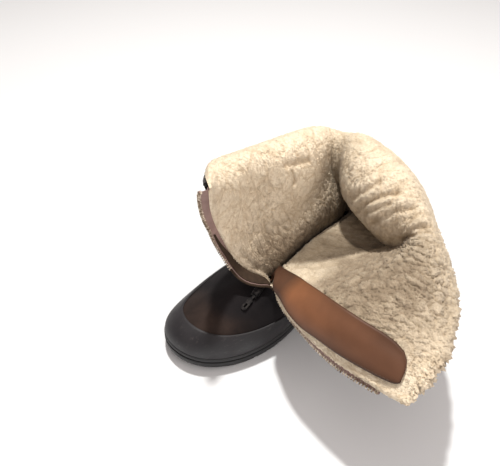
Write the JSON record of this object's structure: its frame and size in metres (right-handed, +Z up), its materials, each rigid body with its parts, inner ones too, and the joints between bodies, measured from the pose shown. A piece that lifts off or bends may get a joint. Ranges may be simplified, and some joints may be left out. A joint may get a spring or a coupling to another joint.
{
  "type": "flying boot",
  "caption": "Left flying boot lined with sheepskin, its front zip open and its slack shaft flopped apart, on a rubber sole with a heel.",
  "frame": {"origin": "on the floor under the forefoot's flat tread, near the ball of the foot", "axes": "+Z up, -Y towards the toe, +X towards the wearer's left"},
  "size_m": [0.2794, 0.304, 0.2112],
  "materials": {
    "rubber": "matt moulded",
    "board": "raw",
    "suede": "napped, worn",
    "black_leather": "smooth, scuffed",
    "fleece": "curled pile",
    "tape": "woven cotton",
    "brass": "darkened",
    "tan_leather": "smooth, waxed",
    "brown_leather": "smooth, worn"
  },
  "bodies": {
    "boot": {"outsole": "rubber", "heel": "rubber", "insole": "board", "upper": "suede", "rand": "black_leather", "fleece_lining": "fleece", "zip_tape_right": "tape", "zip_tape_left": "tape", "zip_facing": "brown_leather", "zip_guard": "tan_leather", "hem_binding": "black_leather", "zip_chain_right": "brass", "zip_chain_left": "brass", "zip_stop_right": "brass", "zip_stop_left": "brass", "zip_slider": "brass"},
    "pull_tab": {"pull_tab": "brass"}
  },
  "joints": [
    {"name": "pull_tab_hinge", "type": "hinge", "parent": "boot", "child": "pull_tab", "pos_m": [0.03537, -0.06964, 0.07048], "axis": [-1, 0, 0], "range_deg": [0, 105]}
  ]
}
